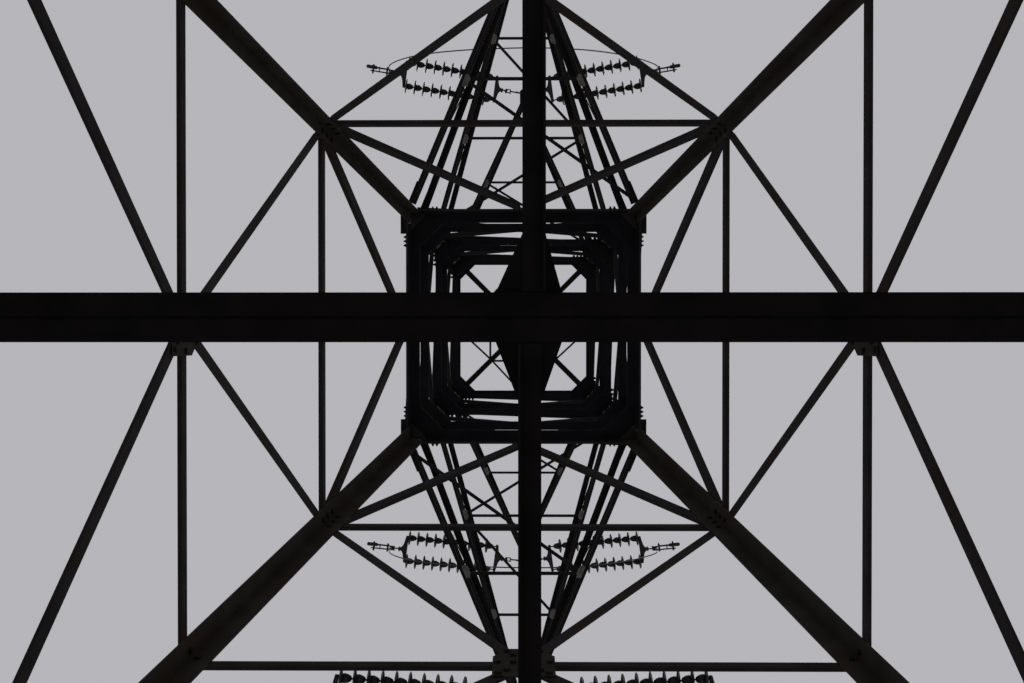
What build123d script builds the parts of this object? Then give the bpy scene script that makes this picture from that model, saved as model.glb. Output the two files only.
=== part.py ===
"""Lattice pylon with a tapered foot, a parallel body, three pairs of crossarms and a pointed peak.

X runs along the line, Y along the crossarms and Z up. The origin is on the ground at the
centre of the four footings. The front side faces -Y and the left side faces -X.
All lengths are in millimetres.
"""

from math import atan, cos, degrees, pi, radians, sin, sqrt, tan
import os

from build123d import *

os.makedirs("parts", exist_ok=True)

# Main heights and half-widths of the tower
FOOT_HALF = 3845
BODY_HALF = 1222
FOOTING_HEIGHT = 300
BASE_RING_Z = 6660
RING_A_Z = 9145
RING_B_Z = 11710
WAIST_Z = 14310
BODY_TOP_Z = 23400
PEAK_RING_Z = 25140
PEAK_TOP_Z = 26700
PEAK_TIP_HALF = 110
PEAK_PLATE = 260

# Crossarms: level of the bottom chords, rise of the top chords at the body, reach to the
# hanging point of the insulators, half-spread of the chords at the tip, distance of the struts
# between them, and the side on which the zigzag of the floor begins
ARMS = {
    "lower": {"level": WAIST_Z + 40, "rise": 1230, "reach": 4110, "tip": 95, "struts": (2650,), "lead": -1},
    "middle": {"level": 18020, "rise": 1230, "reach": 5550, "tip": 30, "struts": (2600, 3970), "lead": 1},
    "upper": {"level": 22000, "rise": 1220, "reach": 3980, "tip": 20, "struts": (2480,), "lead": -1},
}

# Rolled angles: width of a flange and its thickness
FRONT_LEG = 120
BACK_LEG = 160
UPPER_LEG = 110
PEAK_LEG = 70
LEG_THICK = 12
RING_WIDTH = 62
LOW_BRACE = 75
MID_BRACE = 75
HIGH_BRACE = 90
REDUNDANT = 60
BODY_BRACE = 60
PEAK_BRACE = 40
BAR_THICK = 7

# Where the bars end beside the legs and the crossarms' splices
HEEL_GAP = 15
MID_GAP = 55
MID_DROP = 65
HIGH_GAP = 50
HIGH_RISE = 40
WAIST_RISE = 30
PLATE_GAP = 95
BRACE_RISE = 60

# Braces of the lowest panel: their head beside the middle, their foot on the leg, and the
# shares of their length where redundants meet them
HEAD_HALF = 110
HEAD_DROP = 40
FOOT_RISE = 260
FOOT_INSET = 110
KNEES = (0.36, 0.68)
REDUNDANT_RISE = 1500

# Horizontal frames inside the body, with a gusset in each corner
FRAME_WIDTHS = {"lower": 100, "middle": 85, "upper": 75}
FRAME_RISE = 80
FRAME_THICK = 10
FRAME_GUSSET = 260

# Gussets of the rings, on the inner side of the bars
GUSSET_WIDTH = 400
GUSSET_HEIGHT = 380
GUSSET_THICK = 10
GUSSET_CUT = 110

# Ties across the inside at the base ring
TIE_WIDTH = 100
TIE_THICK = 10
TIE_PACKING = 15
TIE_GAP = 5
CROSS_SHIFT = -20
FRONT_SHIFT = 42
BACK_SHIFT = 24
CENTRE_LENGTH = 720
CENTRE_WIDTH = 285
CENTRE_SHIFT = 20

# Crossarm members
CHORD = 75
CHORD_THICK = 8
ARM_BAR = 38
ARM_START = 110
ARM_SETBACK = 80
TIP_RISE = 160
TIP_PLATE = 320
TIP_CUT = 30
SPLICE_LAP = 62
SPLICE_LENGTH = 240
SPLICE_HEIGHT = 170
SPLICE_DROP = 20

# Footings
FOOTING_SIDE = 520
FOOTING_TOP = 400

# Tension insulator sets, measured from the crossarm tip along the set
SET_DIP = 10
SET_TURN = 7.5
LINK_WIDTH = 34
LINK_START = 30
HANGER_DROP = 40
HANGER_HEIGHT = 100
YOKE_NOSE = 400
YOKE_DEPTH = 120
YOKE_THICK = 14
YOKE_NOSE_HALF = 30
YOKE_NOSE_LAP = 60
YOKE_MARGIN = 40
STRING_HALF = 195
DISC_COUNT = 10
DISC_PITCH = 146
DISC_RADIUS = 127
DISC_NECK = 42
DISC_SIDES = 6
STRING_GAP = 30
CLAMP_LENGTH = 480
CLAMP_RADIUS = 24
CLAMP_SIDES = 6
LUG_LENGTH = 150
LUG_AT = 110

# Jumper loop under each crossarm
JUMPER_DIAMETER = 19.5
JUMPER_LEAD = 176
ARC_SHARE = 0.45
JUMPER_POINTS = [
    (-2160, -945),
    (-2040, -1180),
    (-1865, -1405),
    (-1650, -1597),
    (-1405, -1745),
    (-1138, -1860),
    (-860, -1945),
    (-575, -2003),
    (-288, -2045),
    (2, -2072),
    (292, -2066),
    (580, -2032),
    (860, -1962),
    (1128, -1855),
    (1380, -1715),
    (1612, -1545),
    (1820, -1345),
    (1985, -1135),
    (2130, -925),
]

FOOT_SLOPE = (FOOT_HALF - BODY_HALF) / WAIST_Z
PEAK_SLOPE = (BODY_HALF - PEAK_TIP_HALF) / (PEAK_TOP_Z - BODY_TOP_Z)
SIDES = {"front": 0, "right": 90, "back": 180, "left": 270}


def foot_half(height):
    """Half the width of the tapered foot at a height."""
    return FOOT_HALF - FOOT_SLOPE * height


def peak_half(height):
    """Half the width of the peak at a height."""
    return BODY_HALF - PEAK_SLOPE * (height - BODY_TOP_Z)


def side_plane(turn, half, height, slope):
    """The outer plane of one side: x runs across it, y up its slope and z outward."""
    lean = atan(slope)
    out = Vector(sin(radians(turn)), -cos(radians(turn)), 0)
    across = Vector(cos(radians(turn)), sin(radians(turn)), 0)
    normal = out * cos(lean) + Vector(0, 0, sin(lean))
    return Plane(origin=out * half + Vector(0, 0, height), x_dir=across, z_dir=normal)


def strip(start, end, width):
    """A straight strip between two points of the open sketch."""
    (x0, y0), (x1, y1) = start, end
    run = Vector(x1 - x0, y1 - y0, 0)
    angle = degrees(atan((y1 - y0) / (x1 - x0))) if abs(x1 - x0) > 1e-6 else 90
    with Locations(((x0 + x1) / 2, (y0 + y1) / 2)):
        Rectangle(run.length, width, rotation=angle)


def edge_of(bar):
    """The line of a bar's standing flange, along one edge of the flat one."""
    (x0, y0), (x1, y1), width, edge = bar
    run = Vector(x1 - x0, y1 - y0, 0).normalized()
    step = Vector(-run.Y, run.X, 0) * (edge * (width - BAR_THICK) / 2)
    return (x0 + step.X, y0 + step.Y), (x1 + step.X, y1 + step.Y)


def lattice(plane, bars):
    """Angles laid on one plane: flat flanges against it and standing flanges outward.

    A bar is its two ends, its width and the edge that its standing flange is on, 0 for none.
    """
    with BuildPart() as made:
        with BuildSketch(plane):
            for start, end, width, _ in bars:
                strip(start, end, width)
        extrude(amount=BAR_THICK)
        for width in sorted({bar[2] for bar in bars if bar[3]}):
            with BuildSketch(plane):
                for bar in bars:
                    if bar[2] == width and bar[3]:
                        strip(*edge_of(bar), BAR_THICK)
            extrude(amount=width)
    return made.part


def gusset(plane, centre, width, height, cut):
    """A plate with cut corners on the inner side of a plane."""
    with BuildPart() as made:
        with BuildSketch(plane) as outline:
            with Locations(centre):
                Rectangle(width, height)
            chamfer(outline.vertices(), length=cut)
        extrude(amount=-GUSSET_THICK)
    return made.part


def leg(low, low_half, high, high_half, width, across, along):
    """One leg between two heights, an angle with its heel at the corner of the tower."""
    thick = LEG_THICK
    points = [(0, 0), (width, 0), (width, thick), (thick, thick), (thick, width), (0, width)]
    with BuildPart() as made:
        for height, half in ((low, low_half), (high, high_half)):
            with BuildSketch(Plane.XY.offset(height)):
                with BuildLine():
                    Polyline([(across * (half - x), along * (half - y)) for x, y in points], close=True)
                make_face()
        loft()
    return made.part


def save(made, name):
    """Writes one finished piece."""
    made.part.label = name
    export_step(made.part, f"parts/{name}.step")


# Footings, one block under each leg
with BuildPart() as footings:
    with BuildSketch(Plane.XY):
        with GridLocations(2 * FOOT_HALF - FRONT_LEG, 2 * FOOT_HALF - FRONT_LEG, 2, 2):
            Rectangle(FOOTING_SIDE, FOOTING_SIDE)
    extrude(amount=FOOTING_HEIGHT, taper=degrees(atan((FOOTING_SIDE - FOOTING_TOP) / 2 / FOOTING_HEIGHT)))
save(footings, "footings")

# Legs of the foot and of the body
for along, row, low_width in ((-1, "front", FRONT_LEG), (1, "back", BACK_LEG)):
    for across, column in ((-1, "left"), (1, "right")):
        foot = foot_half(FOOTING_HEIGHT)
        with BuildPart() as lower_leg:
            add(leg(FOOTING_HEIGHT, foot, WAIST_Z, BODY_HALF, low_width, across, along))
        save(lower_leg, f"lower_leg_{row}_{column}")
        with BuildPart() as upper_leg:
            add(leg(WAIST_Z, BODY_HALF, BODY_TOP_Z, BODY_HALF, UPPER_LEG, across, along))
        save(upper_leg, f"upper_leg_{row}_{column}")

# Sides of the foot: rings with K bracing between them, and gussets at the middle of the rings
lean = atan(FOOT_SLOPE)


def foot_node(height, across, gap=HEEL_GAP):
    """A point of a foot side, on a leg for across = 1 or -1 and in the middle for 0."""
    return (across * (foot_half(height) - gap), height / cos(lean))


for side, turn in SIDES.items():
    outer = side_plane(turn, FOOT_HALF, 0, FOOT_SLOPE)
    waist_bar = WAIST_Z - RING_WIDTH
    bars = [(foot_node(waist_bar, -1), foot_node(waist_bar, 1), RING_WIDTH, 0)]
    for height in (BASE_RING_Z, RING_A_Z, RING_B_Z):
        bars.append((foot_node(height, -1), foot_node(height, 1), RING_WIDTH, 1))
    for across in (-1, 1):
        bars.append((foot_node(RING_A_Z, 0), foot_node(BASE_RING_Z, across, LOW_BRACE), LOW_BRACE, across))
        corner = foot_node(RING_B_Z - MID_DROP, across, MID_GAP)
        bars.append((foot_node(RING_A_Z, 0), corner, MID_BRACE, across))
        corner = foot_node(RING_B_Z + HIGH_RISE, across, HIGH_GAP)
        bars.append((corner, foot_node(waist_bar + WAIST_RISE, 0), HIGH_BRACE, -across))
    with BuildPart() as lower_face:
        add(lattice(outer, bars))
        for height in (BASE_RING_Z, RING_A_Z):
            add(gusset(outer, foot_node(height, 0, 0), GUSSET_WIDTH, GUSSET_HEIGHT, GUSSET_CUT))
    save(lower_face, f"lower_face_{side}")

# Braces of the lowest panel, from the middle of the base ring to the feet of the legs
for side, turn in SIDES.items():
    outer = side_plane(turn, FOOT_HALF, 0, FOOT_SLOPE)
    with BuildPart() as base_brace:
        for across in (-1, 1):
            head = (across * HEAD_HALF, (BASE_RING_Z - RING_WIDTH) / cos(lean) - HEAD_DROP)
            foot = foot_node(FOOTING_HEIGHT + FOOT_RISE, across, FOOT_INSET)
            bars = [(head, foot, HIGH_BRACE, across)]
            for share in KNEES:
                knee = (head[0] + share * (foot[0] - head[0]), head[1] + share * (foot[1] - head[1]))
                height = knee[1] * cos(lean)
                bars.append((knee, foot_node(height, across), REDUNDANT, across))
                bars.append((knee, foot_node(height + REDUNDANT_RISE, across, REDUNDANT), REDUNDANT, across))
            add(lattice(outer, bars))
    save(base_brace, f"base_brace_{side}")

# Horizontal frames of the body, two at each crossarm, fitted between the legs
with BuildPart() as body_frames:
    frame_half = BODY_HALF - LEG_THICK
    for name, arm in ARMS.items():
        top = min(arm["level"] + arm["rise"], BODY_TOP_Z - FRAME_RISE)
        opening = 2 * (frame_half - FRAME_WIDTHS[name])
        for level in (arm["level"], top):
            with BuildSketch(Plane.XY.offset(level)):
                Rectangle(2 * frame_half, 2 * frame_half)
                with BuildSketch(mode=Mode.SUBTRACT) as hole:
                    Rectangle(opening, opening)
                    chamfer(hole.vertices(), length=FRAME_GUSSET)
            extrude(amount=FRAME_THICK)
            with BuildSketch(Plane.XY.offset(level)):
                Rectangle(2 * frame_half, 2 * frame_half)
                offset(amount=-BAR_THICK, mode=Mode.SUBTRACT)
            extrude(amount=FRAME_RISE)
save(body_frames, "body_frames")

# Sides of the parallel body: crossed bars in the tall panels, one bar in the low ones
low_top = ARMS["lower"]["level"] + ARMS["lower"]["rise"] + FRAME_RISE
mid_top = ARMS["middle"]["level"] + ARMS["middle"]["rise"] + FRAME_RISE
high_top = ARMS["upper"]["level"] + FRAME_RISE
TALL_PANELS = ((low_top, ARMS["middle"]["level"]), (mid_top, ARMS["upper"]["level"]))
LOW_PANELS = (
    (WAIST_Z + BRACE_RISE, low_top - FRAME_RISE),
    (ARMS["middle"]["level"] + FRAME_RISE, mid_top - FRAME_RISE),
    (high_top, BODY_TOP_Z - BRACE_RISE),
)
for side, turn in SIDES.items():
    outer = side_plane(turn, BODY_HALF, 0, 0)
    inset = BODY_HALF - PLATE_GAP
    bars = [((-inset, low), (inset, high), BODY_BRACE, 1) for low, high in LOW_PANELS + TALL_PANELS]
    bars += [((inset, low), (-inset, high), BODY_BRACE, 1) for low, high in TALL_PANELS]
    with BuildPart() as upper_face:
        add(lattice(outer, bars))
    save(upper_face, f"upper_face_{side}")

# Peak: four legs that meet at the top, a small ring and V bracing
with BuildPart() as peak:
    for across in (-1, 1):
        for along in (-1, 1):
            add(leg(BODY_TOP_Z, BODY_HALF, PEAK_TOP_Z, PEAK_TIP_HALF, PEAK_LEG, across, along))
    peak_lean = atan(PEAK_SLOPE)
    for turn in SIDES.values():
        outer = side_plane(turn, BODY_HALF, BODY_TOP_Z, PEAK_SLOPE)
        ring_y = (PEAK_RING_Z - BODY_TOP_Z) / cos(peak_lean)
        ring_x = peak_half(PEAK_RING_Z) - HEEL_GAP
        bars = [((-ring_x, ring_y), (ring_x, ring_y), PEAK_BRACE, 1)]
        for across in (-1, 1):
            bars.append(((0, PEAK_BRACE), (across * ring_x, ring_y), PEAK_BRACE, across))
        add(lattice(outer, bars))
    with BuildSketch(Plane.XY.offset(PEAK_TOP_Z)):
        Rectangle(PEAK_PLATE, PEAK_PLATE)
    extrude(amount=GUSSET_THICK)
save(peak, "peak")

# Ties across the tower at the base ring, cut to the slope of the sides
ring_half = foot_half(BASE_RING_Z)


def trim(turn):
    """Cuts what the open part has outside the gusset of one side."""
    inner = side_plane(turn, FOOT_HALF, 0, FOOT_SLOPE).offset(-GUSSET_THICK)
    split(bisect_by=inner, keep=Keep.BOTTOM)


with BuildPart() as cross_tie:
    with BuildSketch(Plane.YZ.offset(-ring_half)) as pair:
        for hand in (-1, 1):
            heel = CROSS_SHIFT + hand * TIE_PACKING / 2
            with BuildLine():
                Polyline(
                    (heel, BASE_RING_Z),
                    (heel + hand * TIE_WIDTH, BASE_RING_Z),
                    (heel + hand * TIE_WIDTH, BASE_RING_Z + TIE_THICK),
                    (heel + hand * TIE_THICK, BASE_RING_Z + TIE_THICK),
                    (heel + hand * TIE_THICK, BASE_RING_Z + TIE_WIDTH),
                    (heel, BASE_RING_Z + TIE_WIDTH),
                    close=True,
                )
            make_face()
        with Locations((CROSS_SHIFT, BASE_RING_Z + TIE_WIDTH / 2)):
            Rectangle(TIE_PACKING, TIE_WIDTH)
    extrude(amount=2 * ring_half)
    trim(SIDES["left"])
    trim(SIDES["right"])
save(cross_tie, "cross_tie")

# The plate where the ties cross lies on their flat flanges, in two halves beside the cross tie's webs
TIE_SHIFTS = {-1: FRONT_SHIFT, 1: BACK_SHIFT}
with BuildPart() as centre_gusset:
    with BuildSketch(Plane.XY.offset(BASE_RING_Z + TIE_THICK)):
        for along, shift in TIE_SHIFTS.items():
            inner_y = CROSS_SHIFT + along * (TIE_PACKING / 2 + TIE_THICK)
            edge_y = CROSS_SHIFT + along * (TIE_PACKING / 2 + TIE_WIDTH)
            end_y = CROSS_SHIFT + along * CENTRE_LENGTH / 2
            with BuildLine():
                Polyline(
                    (CENTRE_SHIFT - CENTRE_WIDTH / 2, inner_y),
                    (CENTRE_SHIFT - CENTRE_WIDTH / 2, edge_y),
                    (shift - TIE_WIDTH / 2, end_y),
                    (shift + TIE_WIDTH / 2, end_y),
                    (CENTRE_SHIFT + CENTRE_WIDTH / 2, edge_y),
                    (CENTRE_SHIFT + CENTRE_WIDTH / 2, inner_y),
                    close=True,
                )
            make_face()
    extrude(amount=GUSSET_THICK)
save(centre_gusset, "centre_gusset")

# The ties along Y have their webs downward, on opposite edges in front and behind
with BuildPart() as line_ties:
    for along, shift in TIE_SHIFTS.items():
        hand = -along
        start = along * CROSS_SHIFT + TIE_PACKING / 2 + TIE_WIDTH + TIE_GAP
        heel = shift + hand * TIE_WIDTH / 2
        top = BASE_RING_Z + TIE_THICK
        with BuildSketch(Plane.XZ.offset(-along * start)):
            with BuildLine():
                Polyline(
                    (heel, top),
                    (heel - hand * TIE_WIDTH, top),
                    (heel - hand * TIE_WIDTH, BASE_RING_Z),
                    (heel - hand * TIE_THICK, BASE_RING_Z),
                    (heel - hand * TIE_THICK, top - TIE_WIDTH),
                    (heel, top - TIE_WIDTH),
                    close=True,
                )
            make_face()
        extrude(amount=-along * (ring_half - start))
    trim(SIDES["front"])
    trim(SIDES["back"])
save(line_ties, "line_ties")


def set_axis(hand):
    """The direction of a set that leads away along the line."""
    flat = Vector(hand * cos(radians(SET_TURN)), -sin(radians(SET_TURN)), 0)
    return flat * cos(radians(SET_DIP)) - Vector(0, 0, sin(radians(SET_DIP)))


def set_start(along, arm):
    """The point under the tip of a crossarm where its insulator sets begin."""
    return Vector(0, along * arm["reach"], arm["level"] - GUSSET_THICK - HANGER_DROP)


# Crossarms
def arm_shares(arm):
    """Where the struts stand, as shares of the chords' length."""
    start = BODY_HALF + ARM_START
    return [(strut - start) / (arm["reach"] - ARM_SETBACK - start) for strut in arm["struts"]]


def arm_side(across, along, arm):
    """One upright side of a crossarm: two chords, an end post at the tip, posts and diagonals."""
    level = arm["level"]
    root = Vector(across * BODY_HALF, along * (BODY_HALF + ARM_START), level)
    tip = Vector(across * arm["tip"], along * (arm["reach"] - ARM_SETBACK), level)
    length = (tip - root).length
    run = (tip - root).normalized()
    normal = run.cross(Vector(0, 0, 1))
    inward = -1 if normal.X * across > 0 else 1
    plane = Plane(origin=root, x_dir=run, z_dir=normal)

    def low(share):
        return (share * length, CHORD / 2)

    def high(share):
        return (share * length, arm["rise"] + CHORD / 2 + share * (TIP_RISE - arm["rise"]))

    with BuildPart() as made:
        with BuildSketch(plane):
            strip(low(0), low(1), CHORD)
            strip(high(0), high(1), CHORD)
            with Locations((length - ARM_BAR / 2, (TIP_RISE + CHORD) / 2)):
                Rectangle(ARM_BAR, TIP_RISE + CHORD)
            shares = [0] + arm_shares(arm)
            for before, share in zip(shares, shares[1:]):
                strip(low(share), high(share), ARM_BAR)
                strip(low(before), high(share), ARM_BAR)
        extrude(amount=inward * CHORD_THICK)
        with BuildSketch(plane):
            strip((0, CHORD_THICK / 2), (length, CHORD_THICK / 2), CHORD_THICK)
            drop = (CHORD - CHORD_THICK) / 2
            strip((0, high(0)[1] + drop), (length, high(1)[1] + drop), CHORD_THICK)
        extrude(amount=inward * CHORD)
        for bottom in (level, level + arm["rise"]):
            start = Vector(across * BODY_HALF, along * (BODY_HALF - SPLICE_LAP), 0)
            bend = Vector(across * BODY_HALF, along * (BODY_HALF + ARM_START), 0)
            end = bend + run * SPLICE_LENGTH
            out = normal * (-inward * GUSSET_THICK)
            side = Vector(across * GUSSET_THICK, 0, 0)
            with BuildSketch(Plane.XY.offset(bottom - SPLICE_DROP)):
                with BuildLine():
                    outline = [start, bend, end, end + out, bend + side, start + side]
                    Polyline([(p.X, p.Y) for p in outline], close=True)
                make_face()
            extrude(amount=SPLICE_HEIGHT)
    return made.part


def arm_floor(along, arm):
    """Struts and a zigzag between the bottom chords, and the plate and hangers at the tip."""
    start = BODY_HALF + ARM_START
    length = arm["reach"] - ARM_SETBACK - start

    def chord_at(share, across):
        half = BODY_HALF + share * (arm["tip"] - BODY_HALF) - CHORD / 2
        return (across * half, along * (start + share * length))

    with BuildPart() as made:
        with BuildSketch(Plane.XY.offset(arm["level"] + CHORD_THICK)):
            shares = [ARM_BAR / length] + arm_shares(arm)
            for share in shares[1:]:
                strip(chord_at(share, -1), chord_at(share, 1), ARM_BAR)
            hand = arm["lead"] * along
            for before, share in zip(shares, shares[1:]):
                strip(chord_at(before, hand), chord_at(share, -hand), ARM_BAR)
                hand = -hand
        extrude(amount=BAR_THICK)
        with BuildSketch(Plane.XY.offset(arm["level"])) as plate:
            with Locations((0, along * (arm["reach"] - ARM_SETBACK))):
                Rectangle(2 * arm["tip"] + CHORD, TIP_PLATE)
            chamfer(plate.vertices(), length=TIP_CUT)
        extrude(amount=-GUSSET_THICK)
        for hand in (-1, 1):
            axis = set_axis(hand)
            side = Vector(axis.Y, -axis.X, 0).normalized()
            with BuildSketch(Plane(origin=set_start(along, arm), x_dir=side, z_dir=axis)):
                Rectangle(LINK_WIDTH, HANGER_HEIGHT)
            extrude(amount=LINK_START)
    return made.part


for name, arm in ARMS.items():
    for along, row in ((-1, "front"), (1, "back")):
        with BuildPart() as crossarm:
            for across in (-1, 1):
                add(arm_side(across, along, arm))
            add(arm_floor(along, arm))
        save(crossarm, f"arm_{name}_{row}")


# Tension insulator sets: a link, a yoke, two strings of discs, a yoke and a dead-end clamp
STRING_START = YOKE_NOSE + YOKE_DEPTH + STRING_GAP
STRING_END = STRING_START + DISC_COUNT * DISC_PITCH
CLAMP_START = STRING_END + STRING_GAP + YOKE_DEPTH
wide = STRING_HALF + YOKE_MARGIN

# The string from its outer end inward: each disc narrows from its rim to the cap on the tower's side
with BuildPart() as string:
    for number in range(DISC_COUNT):
        with BuildSketch(Plane.XY.offset(number * DISC_PITCH)):
            RegularPolygon(DISC_RADIUS, DISC_SIDES)
        extrude(amount=DISC_PITCH, taper=degrees(atan((DISC_RADIUS - DISC_NECK) / DISC_PITCH)))

with BuildPart() as set_pair:
    for hand in (-1, 1):
        axis = set_axis(hand)
        level_cross = Vector(axis.Y, -axis.X, 0).normalized()
        flat = Plane(origin=(0, 0, 0), x_dir=axis, z_dir=axis.cross(level_cross))
        with BuildSketch(flat):
            with BuildLine():
                Polyline(
                    (YOKE_NOSE - YOKE_NOSE_LAP, -YOKE_NOSE_HALF),
                    (YOKE_NOSE + YOKE_DEPTH, -wide),
                    (YOKE_NOSE + YOKE_DEPTH + YOKE_MARGIN, -wide),
                    (YOKE_NOSE + YOKE_DEPTH + YOKE_MARGIN, wide),
                    (YOKE_NOSE + YOKE_DEPTH, wide),
                    (YOKE_NOSE - YOKE_NOSE_LAP, YOKE_NOSE_HALF),
                    close=True,
                )
            make_face()
            with BuildLine():
                Polyline(
                    (CLAMP_START + YOKE_NOSE_LAP, -YOKE_NOSE_HALF),
                    (CLAMP_START - YOKE_DEPTH, -wide),
                    (CLAMP_START - YOKE_DEPTH - YOKE_MARGIN, -wide),
                    (CLAMP_START - YOKE_DEPTH - YOKE_MARGIN, wide),
                    (CLAMP_START - YOKE_DEPTH, wide),
                    (CLAMP_START + YOKE_NOSE_LAP, YOKE_NOSE_HALF),
                    close=True,
                )
            make_face()
        extrude(amount=YOKE_THICK / 2, both=True)
        with BuildSketch(Plane(origin=axis * LINK_START, x_dir=level_cross, z_dir=axis)):
            Rectangle(LINK_WIDTH, LINK_WIDTH)
        extrude(amount=YOKE_NOSE - LINK_START)
        for place in (-STRING_HALF, STRING_HALF):
            base = Plane(origin=axis * STRING_END + level_cross * place, x_dir=level_cross, z_dir=-axis)
            with Locations(base):
                add(string.part)
            with BuildSketch(base.offset(-STRING_GAP)):
                Rectangle(LINK_WIDTH, LINK_WIDTH)
            extrude(amount=STRING_END - STRING_START + 2 * STRING_GAP)
        with BuildSketch(Plane(origin=axis * CLAMP_START, x_dir=level_cross, z_dir=axis)):
            RegularPolygon(CLAMP_RADIUS, CLAMP_SIDES)
        extrude(amount=CLAMP_LENGTH)
        with BuildSketch(Plane(origin=axis * (CLAMP_START + LUG_AT), x_dir=level_cross, z_dir=(0, 0, -1))):
            Rectangle(2 * CLAMP_RADIUS, 2 * CLAMP_RADIUS)
        extrude(amount=LUG_LENGTH)

for name, arm in ARMS.items():
    for along, row in ((-1, "front"), (1, "back")):
        with BuildPart() as insulators:
            with Locations(set_start(along, arm)):
                add(set_pair.part)
        save(insulators, f"insulators_{name}_{row}")

# Jumper loops, each hanging between the lugs of two clamps
lug_end = set_axis(1) * (CLAMP_START + LUG_AT) - Vector(0, 0, LUG_LENGTH)
lead = lug_end.Z - JUMPER_LEAD
route = [(-lug_end.X, lug_end.Z), (-lug_end.X, lead)] + JUMPER_POINTS
route += [(lug_end.X, lead), (lug_end.X, lug_end.Z)]
corners = [Vector(x, lug_end.Y, z) for x, z in route]
radii = []
for before, corner, after in zip(corners, corners[1:], corners[2:]):
    arrive, leave = corner - before, after - corner
    turn = radians(arrive.get_angle(leave))
    radii.append(ARC_SHARE * min(arrive.length, leave.length) / tan(turn / 2))
print("jumper radii", [round(radius) for radius in radii])

# The loop's section is a square of the round conductor's area, which keeps its facets few
jumper_side = sqrt(pi) / 2 * JUMPER_DIAMETER
with BuildPart() as loop:
    with BuildLine() as path:
        FilletPolyline(*corners, radius=radii)
    with BuildSketch(Plane(origin=corners[0], z_dir=(0, 0, -1))):
        Rectangle(jumper_side, jumper_side)
    sweep()
loop_length = sum(edge.length for edge in path.edges())
print("jumper length", loop_length, "volume share", loop.part.volume / (jumper_side**2 * loop_length))

for name, arm in ARMS.items():
    for along, row in ((-1, "front"), (1, "back")):
        with BuildPart() as jumper:
            with Locations(set_start(along, arm)):
                add(loop.part)
        save(jumper, f"jumper_{name}_{row}")
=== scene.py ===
"""Looks of the lattice pylon: camera at the photograph's viewing angle, light, materials and fine detail.

X runs along the line, Y along the crossarms and Z up, in metres from the ground between the footings.
"""

from math import atan, cos, pi, radians, sin

import bmesh
import bpy
from mathutils import Matrix, Vector


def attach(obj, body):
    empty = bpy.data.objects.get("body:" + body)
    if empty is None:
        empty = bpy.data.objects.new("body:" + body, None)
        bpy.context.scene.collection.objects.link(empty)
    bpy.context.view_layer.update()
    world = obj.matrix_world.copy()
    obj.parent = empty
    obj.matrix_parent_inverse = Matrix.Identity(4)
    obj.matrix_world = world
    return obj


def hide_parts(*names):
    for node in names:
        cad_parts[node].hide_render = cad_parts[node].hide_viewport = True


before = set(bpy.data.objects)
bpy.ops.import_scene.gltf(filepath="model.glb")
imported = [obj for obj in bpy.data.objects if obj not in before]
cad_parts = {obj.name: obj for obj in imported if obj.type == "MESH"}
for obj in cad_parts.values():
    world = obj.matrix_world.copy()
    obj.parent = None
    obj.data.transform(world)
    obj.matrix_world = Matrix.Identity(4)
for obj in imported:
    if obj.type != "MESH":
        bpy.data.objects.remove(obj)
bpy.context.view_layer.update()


def axes_at(at, x, y, z):
    """A frame at a point, with these three axes."""
    return Matrix.Translation(at) @ Matrix((x, y, z)).transposed().to_4x4()


def circle(sides):
    """The corners of a regular polygon in a circle of radius 1."""
    return [(cos(2 * pi * k / sides), sin(2 * pi * k / sides)) for k in range(sides)]


# The camera: straight up from inside the base, leaning a little towards the image's left and bottom
FOCAL_PX = 1200
IMAGE_WIDTH = 1024
IMAGE_CENTRE = (512.0, 341.5)
ZENITH = (523.0, 329.6)
CAMERA_AT = Vector((-0.005, 0.033, 1.5))
SENSOR_MM = 36


def add_camera():
    lean = [(centre - zenith) / FOCAL_PX for centre, zenith in zip(IMAGE_CENTRE, ZENITH)]
    aim = Vector((*lean, 1)).normalized()
    right = Vector((1, 0, 0))
    right = (right - aim * right.dot(aim)).normalized()
    data = bpy.data.cameras.new("camera")
    data.sensor_width = SENSOR_MM
    data.lens = SENSOR_MM * FOCAL_PX / IMAGE_WIDTH
    data.clip_start = 0.01
    data.clip_end = 400
    camera = bpy.data.objects.new("camera", data)
    camera.matrix_world = axes_at(CAMERA_AT, right, right.cross(aim), -aim)
    bpy.context.scene.collection.objects.link(camera)
    bpy.context.scene.camera = camera


add_camera()

# Crossarms: level of the bottom chords, and reach to the point where the insulator sets hang
ARMS = {
    "lower": (14.350, 4.110),
    "middle": (18.020, 5.550),
    "upper": (22.000, 3.980),
}
ROWS = {"front": -1, "back": 1}
HANGER_DROP = 0.050
SET_STARTS = {
    f"{arm}_{row}": Vector((0, along * reach, level - HANGER_DROP))
    for arm, (level, reach) in ARMS.items()
    for row, along in ROWS.items()
}

# Insulator sets leave the crossarm to both sides along the line, dipping, and turned a little towards
# the front. Their clamps begin at a distance from the crossarm, and have the jumpers' lugs below them
SET_DIP = radians(10)
SET_TURN = radians(7.5)
CLAMP_START = 2.160
LUG_AT = 0.110
LUG_LENGTH = 0.150


def set_axis(hand):
    """The direction in which a set leaves the crossarm, for hand = 1 or -1."""
    flat = Vector((hand * cos(SET_TURN), -sin(SET_TURN), 0))
    return flat * cos(SET_DIP) - Vector((0, 0, sin(SET_DIP)))


LUG_END = set_axis(1) * (CLAMP_START + LUG_AT) - Vector((0, 0, LUG_LENGTH))

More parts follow.
